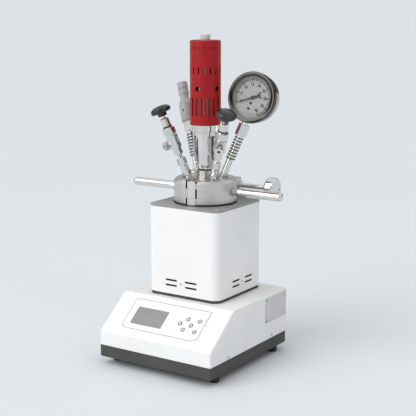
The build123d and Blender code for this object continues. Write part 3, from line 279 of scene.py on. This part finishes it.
# polyester film over the panel: matt and almost white, and its inks lie flat on it
membrane = moulded("polyesterFilm", {"dark": "#F1F1F1", "light": "#F5F5F5", "rough": 0.42, "patch": 30,
                                     "grain": 0.7, "depth": 0.08, "edge": 0.15})
keyFilm = moulded("embossedKeyFilm", {"dark": "#E9EAEA", "light": "#F0F0F0", "rough": 0.4, "patch": 4,
                                      "grain": 0.5, "depth": 0.05, "edge": 0.5})
inkGrey = moulded("screenInkGrey", {"dark": "#5C5D5F", "light": "#666769", "rough": 0.5, "patch": 5,
                                    "grain": 0.5, "depth": 0.04, "edge": 0.05})
inkBlack = moulded("padInkBlack", {"dark": "#1B1B1C", "light": "#242425", "rough": 0.45, "patch": 4,
                                   "grain": 0.5, "depth": 0.04, "edge": 0.05})
# display window with no light behind it: an even grey with a clear gloss
displayGlass = moulded("unlitDisplayWindow", {"dark": "#909090", "light": "#979797", "rough": 0.22,
                                              "patch": 25, "grain": 0.8, "depth": 0.02, "edge": 0.1})
boardMat = moulded("epoxyCircuitBoard", {"dark": "#1D5A34", "light": "#256B40", "rough": 0.4, "patch": 12,
                                         "grain": 0.8, "depth": 0.1})
# black plastics: nylon is dull, pressed phenolic shines
blackPlastic = moulded("mouldedBlackNylon", {"dark": "#161616", "light": "#1D1D1D", "rough": 0.45,
                                             "patch": 10, "grain": 0.6, "depth": 0.2})
knobPlastic = moulded("pressedBlackPhenolic", {"dark": "#171718", "light": "#202021", "rough": 0.21,
                                               "patch": 9, "grain": 0.9, "depth": 0.06, "edge": 0.8,
                                               "ior": 1.6})
# rubber and silicone: near black, no shine
footRubber = moulded("mouldedRubber", {"dark": "#201F1F", "light": "#2A2928", "rough": 0.65, "patch": 8,
                                       "grain": 0.8, "depth": 0.3, "edge": 0.8})
padRubber = moulded("siliconePad", {"dark": "#3B3B3B", "light": "#464646", "rough": 0.6, "patch": 15,
                                    "grain": 1.0, "depth": 0.3})
sealPlastic = moulded("whiteFluoropolymer", {"dark": "#DEDEDA", "light": "#E6E6E2", "rough": 0.5, "patch": 10,
                                             "grain": 0.8, "depth": 0.1})
plugPlastic = moulded("greyNylonPlug", {"dark": "#CECECD", "light": "#D8D8D7", "rough": 0.35, "patch": 6,
                                        "grain": 0.8, "depth": 0.12})
# woven glass cloth: black and matt, weave about 1.5 mm
glassCloth = moulded("blackGlassCloth", {"dark": "#0D0D0D", "light": "#161616", "rough": 0.85, "patch": 5,
                                         "grain": 1.5, "depth": 0.6})
# enamelled dial and lacquered pointer: flat colours with a slight sheen
dialEnamel = moulded("printedDialEnamel", {"dark": "#D2D2D1", "light": "#DADAD9", "rough": 0.42, "patch": 12,
                                           "grain": 0.6, "depth": 0.04})
pointerInk = moulded("blackLacqueredPointer", {"dark": "#1E1E1E", "light": "#2A2A2A", "rough": 0.4,
                                               "patch": 4, "grain": 0.5, "depth": 0.05, "edge": 0.1})
redInk = moulded("redLacquer", {"dark": "#A5201C", "light": "#B32820", "rough": 0.4, "patch": 4,
                                "grain": 0.5, "depth": 0.05, "edge": 0.1})

# flat window glass of the gauge, wiped clean but not spotless
glassLook = {"tone": "#1A1C1C", "ior": 1.5, "alpha": 0.14, "smear": 9, "clear": 0.03, "wiped": 0.1}
glassSockets = {"Base Color": glassLook["tone"], "IOR": glassLook["ior"], "Alpha": glassLook["alpha"]}
gaugeGlass, glassTree, glassShader = newMaterial("floatGlass", glassSockets)
glassSpot = addNode(glassTree, "ShaderNodeTexCoord", output="Object")
smears = varied(glassTree, glassSpot, glassLook["smear"], glassLook["clear"], glassLook["wiped"])
feed(glassShader, {"Roughness": smears})
print("materials made")

# ---- CAD nodes and their materials ----
finishes = {
    "base_tray": greyTrayCoat, "base_feet": footRubber, "base_cover": whiteCoat, "panel_overlay": membrane,
    "display_module": displayGlass, "control_board": boardMat, "nameplate": plateMetal,
    "cabinet_screws": satinPlain, "rear_panel": whiteCoat, "power_inlet": blackPlastic,
    "rocker_switch": knobPlastic, "power_supply": zincSheet, "heater_pad": padRubber,
    "heater_shell": whiteCoat,
    "heater_top_plate": greyPlateCoat, "heater_screws": satinPlain, "heater_jacket": glassCloth,
    "heater_block": blockMetal, "band_heater": zincSheet, "vessel": satinColumn, "seal_ring": sealPlastic,
    "lid": satinColumn, "clamp_half_right": satinRing, "clamp_half_left": satinRing,
    "hinge_pin": satinPlain, "handle_right": brightHandle, "handle_left": brightHandle,
    "clamp_screw": brightScrew, "clamp_knob": brightScrew, "isolating_can": satinColumn,
    "stirrer_shaft": brightColumn, "inner_rotor": magnetMetal, "impeller": satinColumn,
    "coupling_housing": brightColumn, "outer_rotor": magnetMetal, "drive_motor": zincSheet,
    "motor_cover": redCoat, "motor_connector": plugPlastic,
    "left_valve_body": portMetal["left"], "left_valve_stem": portMetal["left"],
    "left_valve_knob": knobPlastic, "right_valve_body": portMetal["right"],
    "right_valve_stem": portMetal["right"], "right_valve_knob": knobPlastic,
    "gauge_stem": portMetal["gauge"], "gauge_case": caseMetal,
    "gauge_bezel": bezelMetal, "gauge_glass": gaugeGlass, "gauge_dial": dialEnamel,
    "gauge_movement": brassMetal, "gauge_pointer": pointerInk, "sensor_stem": portMetal["sensor"],
    "sensor_body": sensorCoat, "port_plugs": satinPlain,
}
finishes.update({name: keyFilm for name in nodes if name.startswith("key_")})
for name, material in finishes.items():
    nodes[name].data.materials.clear()
    nodes[name].data.materials.append(material)
print("CAD nodes painted:", len(finishes), "of", len(nodes))

# ---- mesh helpers ----
creaseAngle = radians(35)
pinhole = 0.01  # millimetres left open at the centre of a round piece


def addPiece(name, mesh, material, body):
    piece = bpy.data.objects.new(name, mesh)
    bpy.context.scene.collection.objects.link(piece)
    mesh.materials.clear()
    mesh.materials.append(material)
    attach(piece, body)


def meshFrom(name, points, faces, place):
    # points in millimetres in the local frame of place
    mesh = bpy.data.meshes.new(name)
    mesh.from_pydata([place @ (Vector(p) * mm) for p in points], [], faces)
    mesh.validate()
    return mesh


def turnedMesh(name, profile, place, sides):
    # a closed ring body from (radius, height) points, turned about the frame's z axis
    points, faces = [], []
    count = len(profile)
    for step in range(sides):
        a = 2 * pi * step / sides
        points += [(r * cos(a), r * sin(a), z) for r, z in profile]
    for step in range(sides):
        here, there = step * count, (step + 1) % sides * count
        for i in range(count):
            j = (i + 1) % count
            faces.append((here + i, there + i, there + j, here + j))
    mesh = meshFrom(name, points, faces, place)
    mesh.polygons.foreach_set("use_smooth", [True] * len(mesh.polygons))
    mesh.set_sharp_from_angle(angle=creaseAngle)
    return mesh


def ringProfile(ring):
    # the cut face of a ring, with the outer edges broken by its bevel
    cut = ring.get("bevel", 0)
    return [(ring["inner"], ring["low"]), (ring["outer"], ring["low"] + cut),
            (ring["outer"], ring["high"] - cut), (ring["inner"], ring["high"])]


def slabMesh(name, outlines, place, low, high):
    # flat plates from closed outlines, pulled up from low to high
    points, faces = [], []
    for outline in outlines:
        start, count = len(points), len(outline)
        points += [(x, y, low) for x, y in outline] + [(x, y, high) for x, y in outline]
        faces.append(tuple(start + count + i for i in range(count)))
        faces.append(tuple(start + i for i in reversed(range(count))))
        for i in range(count):
            j = (i + 1) % count
            faces.append((start + i, start + j, start + count + j, start + count + i))
    return meshFrom(name, points, faces, place)


def stroke(x0, y0, x1, y1, width):
    # a thin rectangle along a line
    along = Vector((x1 - x0, y1 - y0)).normalized() * width / 2
    side = Vector((-along.y, along.x))
    return [(x0 - side.x, y0 - side.y), (x1 - side.x, y1 - side.y), (x1 + side.x, y1 + side.y),
            (x0 + side.x, y0 + side.y)]


def bandOutline(centre, inner, outer, start, end, steps):
    # part of a flat ring, as short four-sided pieces
    pieces = []
    for i in range(steps):
        a, b = [radians(start + (end - start) * k / steps) for k in (i, i + 1)]
        pieces.append([(centre[0] + r * cos(t), centre[1] + r * sin(t))
                       for r, t in ((inner, a), (outer, a), (outer, b), (inner, b))])
    return pieces


def printed(name, text, look, place):
    # raised ink in the shape of a figure, centred on the frame's origin
    curve = bpy.data.curves.new(name, "FONT")
    curve.body = text
    curve.size = look["figureSize"] * mm
    curve.offset = look["bold"] * mm
    curve.align_x, curve.align_y = "CENTER", "CENTER"
    curve.extrude = look["ink"] / 2 * mm
    curve.resolution_u = 3
    made = bpy.data.objects.new(name, curve)
    bpy.context.scene.collection.objects.link(made)
    bpy.context.view_layer.update()
    mesh = bpy.data.meshes.new_from_object(made.evaluated_get(bpy.context.evaluated_depsgraph_get()))
    bpy.data.objects.remove(made)
    mesh.transform(place @ Matrix.Translation((0, 0, (look["level"] + look["ink"] / 2) * mm)))
    return mesh


def joined(name, meshes):
    whole = bmesh.new()
    for mesh in meshes:
        whole.from_mesh(mesh)
        bpy.data.meshes.remove(mesh)
    mesh = bpy.data.meshes.new(name)
    whole.to_mesh(mesh)
    whole.free()
    return mesh


# ---- control panel print and keys ----
panel = {"left": -80, "right": 78, "low": 15.2, "high": 79.8, "cutX": 9, "cutY": 6, "edge": 0.9,
         "line": 0.7, "shrinkX": 0.4, "shrinkY": 0.3, "top": 0.8, "ink": 0.05}


def panelLine(inset):
    # the border's outline, drawn in by inset; the two cut lower corners shrink a little with it
    left, right = panel["left"] + inset, panel["right"] - inset
    low, high = panel["low"] + inset, panel["high"] - inset
    cutX, cutY = panel["cutX"] - inset * panel["shrinkX"], panel["cutY"] - inset * panel["shrinkY"]
    return [(left, high), (left, low + cutY), (left + cutX, low), (right - cutX, low), (right, low + cutY),
            (right, high)]


outerLine, innerLine = panelLine(panel["edge"]), panelLine(panel["edge"] + panel["line"])
corners = len(outerLine)
borderStrips = [[outerLine[i], outerLine[(i + 1) % corners], innerLine[(i + 1) % corners], innerLine[i]]
                for i in range(corners)]
border = slabMesh("panelBorder", borderStrips, slopeFrame, panel["top"], panel["top"] + panel["ink"])
addPiece("panelBorder", border, inkGrey, "reactor")

keyPrint = {"inner": 2.2, "outer": 3.7, "low": 1.6, "high": 1.66, "sides": 40, "stroke": 0.45,
            "circle": (0.65, 1.05), "circlePieces": 16}
keyPlaces = {"key_up": (42.2, 56.2), "key_down": (42.2, 34.1), "key_left": (31.0, 45.1),
             "key_right": (53.2, 45.1), "key_start": (65.6, 56.2), "key_stop": (65.6, 34.1)}
keyMarks = {
    "key_up": [[(-0.9, -0.6), (0.9, -0.6), (0, 0.9)]],
    "key_down": [[(-0.9, 0.6), (0, -0.9), (0.9, 0.6)]],
    "key_left": [[(0.6, -0.9), (0.6, 0.9), (-0.9, 0)]],
    "key_right": [[(-0.6, -0.9), (0.9, 0), (-0.6, 0.9)]],
    "key_start": [stroke(0, -1, 0, 1, keyPrint["stroke"])],
    "key_stop": bandOutline((0, 0), *keyPrint["circle"], 0, 360, keyPrint["circlePieces"]),
}
for name, (x, y) in keyPlaces.items():
    here = shifted(slopeFrame, x, y)
    ring = turnedMesh(name + "Ring", ringProfile(keyPrint), here, keyPrint["sides"])
    mark = slabMesh(name + "Mark", keyMarks[name], here, keyPrint["low"], keyPrint["high"])
    addPiece(name + "Print", joined(name + "Print", [ring, mark]), inkGrey, name)
print("panel printed")

# ---- gauge dial: ticks, arc, dots and figures; then the pointer's red tip and wide tail ----
dial = {"level": -8.0, "ink": 0.12, "rim": 33.2, "zero": 217.0, "step": 33.2, "steps": 8, "fine": 10,
        "major": (5.6, 1.6), "middle": (4.8, 1.0), "minor": (3.8, 0.8), "arc": (-0.05, 0.3), "arcPieces": 72,
        "dot": 2.5, "dotPieces": 16, "dotDrops": (10.2, 20.0), "figures": 23.0, "figureSize": 7.2,
        "bold": 0.26, "count": 5}
ticks = []
for i in range(dial["steps"] * dial["fine"] + 1):
    a = radians(dial["zero"] - dial["step"] * i / dial["fine"])
    kind = "major" if i % dial["fine"] == 0 else "middle" if i % (dial["fine"] // 2) == 0 else "minor"
    length, width = dial[kind]
    near, far = dial["rim"] - length, dial["rim"]
    ticks.append(stroke(near * cos(a), near * sin(a), far * cos(a), far * sin(a), width))
scaleEnd = dial["zero"] - dial["step"] * dial["steps"]
arcInner, arcOuter = [dial["rim"] + edge for edge in dial["arc"]]
ticks += bandOutline((0, 0), arcInner, arcOuter, scaleEnd, dial["zero"], dial["arcPieces"])
for drop in dial["dotDrops"]:
    ticks += bandOutline((0, -drop), pinhole, dial["dot"], 0, 360, dial["dotPieces"])
prints = [slabMesh("dialTicks", ticks, dialFrame, dial["level"], dial["level"] + dial["ink"])]
for i in range(dial["steps"] + 1):
    a = radians(dial["zero"] - dial["step"] * i)
    spot = shifted(dialFrame, dial["figures"] * cos(a), dial["figures"] * sin(a))
    prints.append(printed("figure", str(i * dial["count"]), dial, spot))
addPiece("dialPrint", joined("dialPrint", prints), inkBlack, "reactor")

aim = dialFrame @ Matrix.Rotation(radians(dial["zero"]), 4, "Z")
tip = {"start": 24.0, "end": 33.2, "wide": 0.75, "narrow": 0.3, "low": -6.0, "high": -5.9}
tipOutline = [(tip["start"], -tip["wide"]), (tip["end"], -tip["narrow"]), (tip["end"], tip["narrow"]),
              (tip["start"], tip["wide"])]
tipMesh = slabMesh("pointerTip", [tipOutline], aim, tip["low"], tip["high"])
addPiece("pointerTip", tipMesh, redInk, "pointer")

tail = {"reach": 17.0, "inner": 3.6, "outer": 5.8, "bow": 80, "bowPieces": 16, "width": 4.2, "start": -2,
        "lap": 0.6, "low": -6.7, "high": -6.1}
tailOutlines = bandOutline((-tail["reach"], 0), tail["inner"], tail["outer"], -tail["bow"], tail["bow"],
                           tail["bowPieces"])
tailOutlines.append(stroke(tail["start"], 0, tail["inner"] + tail["lap"] - tail["reach"], 0, tail["width"]))
tailMesh = slabMesh("pointerTail", tailOutlines, aim, tail["low"], tail["high"])
addPiece("pointerTail", tailMesh, pointerInk, "pointer")
print("dial printed")

# ---- small parts: rivets of the nameplate, black rings as painted shade in gaps, plated pins of the inlet ----
rivet = {"x": 32.4, "y": 19.2, "radius": 1.5, "crown": 0.8, "base": 0.8, "high": 1.6, "round": 0.2,
         "sides": 20}
rivetProfile = [(pinhole, rivet["base"]), (rivet["radius"], rivet["base"]),
                (rivet["radius"] * rivet["crown"], rivet["high"] - rivet["round"]), (pinhole, rivet["high"])]
for i, (x, y) in enumerate([(-1, -1), (1, -1), (1, 1), (-1, 1)]):
    name = "nameplateRivet" + str(i + 1)
    here = shifted(sideFrame, x * rivet["x"], y * rivet["y"])
    rivetMesh = turnedMesh(name, rivetProfile, here, rivet["sides"])
    addPiece(name, rivetMesh, blackPlastic, "reactor")

# black rings on the valve stems, as painted shade in the gap between the guard and the gland nut
valveGapShade = {"inner": 5.7, "outer": 8.3, "low": 94.6, "high": 96.9, "sides": 48}
for side in ("left", "right"):
    name = side + "GapShadeRing"
    valveGapShadeMesh = turnedMesh(name, ringProfile(valveGapShade), ports[side], valveGapShade["sides"])
    addPiece(name, valveGapShadeMesh, blackPlastic, "reactor")

# a black ring at the foot of the coupling housing, as painted shade under the housing's bottom
canGapShade = {"inner": 10.65, "outer": 11.3, "low": 329.8, "high": 332.4, "bevel": 0.3, "sides": 48}
canMesh = turnedMesh("canGapShade", ringProfile(canGapShade), columnFrame, canGapShade["sides"])
addPiece("canGapShade", canMesh, blackPlastic, "reactor")

# a black ring under the clamp ring, as painted shade in the gap over the plate
clampGapShade = {"inner": 46, "outer": 55.7, "low": 274.45, "high": 276.2, "sides": 96}
seatMesh = turnedMesh("clampGapShade", ringProfile(clampGapShade), columnFrame, clampGapShade["sides"])
addPiece("clampGapShade", seatMesh, footRubber, "reactor")

# plated sleeves over the moulded pins, with 0.1 mm to spare
pins = {"places": [(-7, -15), (7, -15), (0, -11)], "width": 2.2, "height": 4.2, "low": -14, "high": -2.9}
half = pins["height"] / 2
blades = [stroke(x, y - half, x, y + half, pins["width"]) for x, y in pins["places"]]
pinMesh = slabMesh("inletPins", blades, inletFrame, pins["low"], pins["high"])
addPiece("inletPins", pinMesh, satinPlain, "reactor")
print("small parts added")

# ---- studio ----
studio = {"floor": "#E1E6EB", "floorRough": 0.9, "floorSize": 120, "worldStrength": 0.86}
floorSockets = {"Base Color": studio["floor"], "Roughness": studio["floorRough"]}
floorMat = newMaterial("mattPaperSweep", floorSockets)[0]  # matt paper, no shine
bpy.ops.mesh.primitive_plane_add(size=studio["floorSize"], location=(0, 0, 0))
floor = bpy.context.object
floor.name = "floor"
floor.data.materials.append(floorMat)

# a bright ceiling over a darker wall, which gives turned metal its grey streaks
world = bpy.data.worlds.new("studioWorld")
bpy.context.scene.world = world
world.use_nodes = True
wallHeights = [(0.0, "#EBF1F5"), (0.05, "#EBF1F5"), (0.13, "#6A6A6A"), (0.36, "#7C7C7C"),
               (0.46, "#FFFFFF")]
direction = addNode(world.node_tree, "ShaderNodeTexCoord", output="Generated")
rise = addNode(world.node_tree, "ShaderNodeSeparateXYZ", {"Vector": direction}, output="Z")
ramp = addNode(world.node_tree, "ShaderNodeValToRGB", {"Fac": rise}, output="Color")
bands = ramp.node.color_ramp.elements
for height, shade in wallHeights[1:-1]:
    bands.new(height)
for band, (height, shade) in zip(bands, wallHeights):
    band.position = height
    band.color = toLinear(shade)
feed(world.node_tree.nodes["Background"], {"Color": ramp, "Strength": studio["worldStrength"]})

lamps = {
    "windowSun": {"kind": "SUN", "spot": (-1.0, -2.2, 1.9), "target": (0, 0, 0.2), "power": 1.22,
                  "shape": {"angle": radians(50)}},
    "softBox": {"kind": "AREA", "spot": (-0.9, -2.6, 1.0), "target": (0, 0, 0.3), "power": 6,
                "shape": {"size": 0.9}},
    "stripBox": {"kind": "AREA", "spot": (2.1, -0.6, 1.3), "target": (0, 0, 0.3), "power": 2,
                 "shape": {"shape": "RECTANGLE", "size": 0.3, "size_y": 1.6}},
}
for name, lamp in lamps.items():
    light = bpy.data.lights.new(name, lamp["kind"])
    light.energy = lamp["power"]
    for field, value in lamp["shape"].items():
        setattr(light, field, value)
    lampObject = bpy.data.objects.new(name, light)
    lampObject.location = lamp["spot"]
    aimed = Vector(lamp["target"]) - Vector(lamp["spot"])
    lampObject.rotation_euler = aimed.to_track_quat("-Z", "Y").to_euler()
    bpy.context.scene.collection.objects.link(lampObject)

view = {"lens": 90.1, "sensor": 36, "nearest": 0.05, "spot": (0.9981, -1.4618, 0.6140), "down": 11.075,
        "turn": 33.566}
camera = bpy.data.cameras.new("camera")
camera.lens, camera.sensor_width = view["lens"], view["sensor"]
camera.clip_start = view["nearest"]
cameraObject = bpy.data.objects.new("camera", camera)
cameraObject.location = view["spot"]
cameraObject.rotation_euler = (radians(90 - view["down"]), 0, radians(view["turn"]))
bpy.context.scene.collection.objects.link(cameraObject)
bpy.context.scene.camera = cameraObject
bpy.context.scene.view_settings.view_transform = "Standard"
print("studio set")
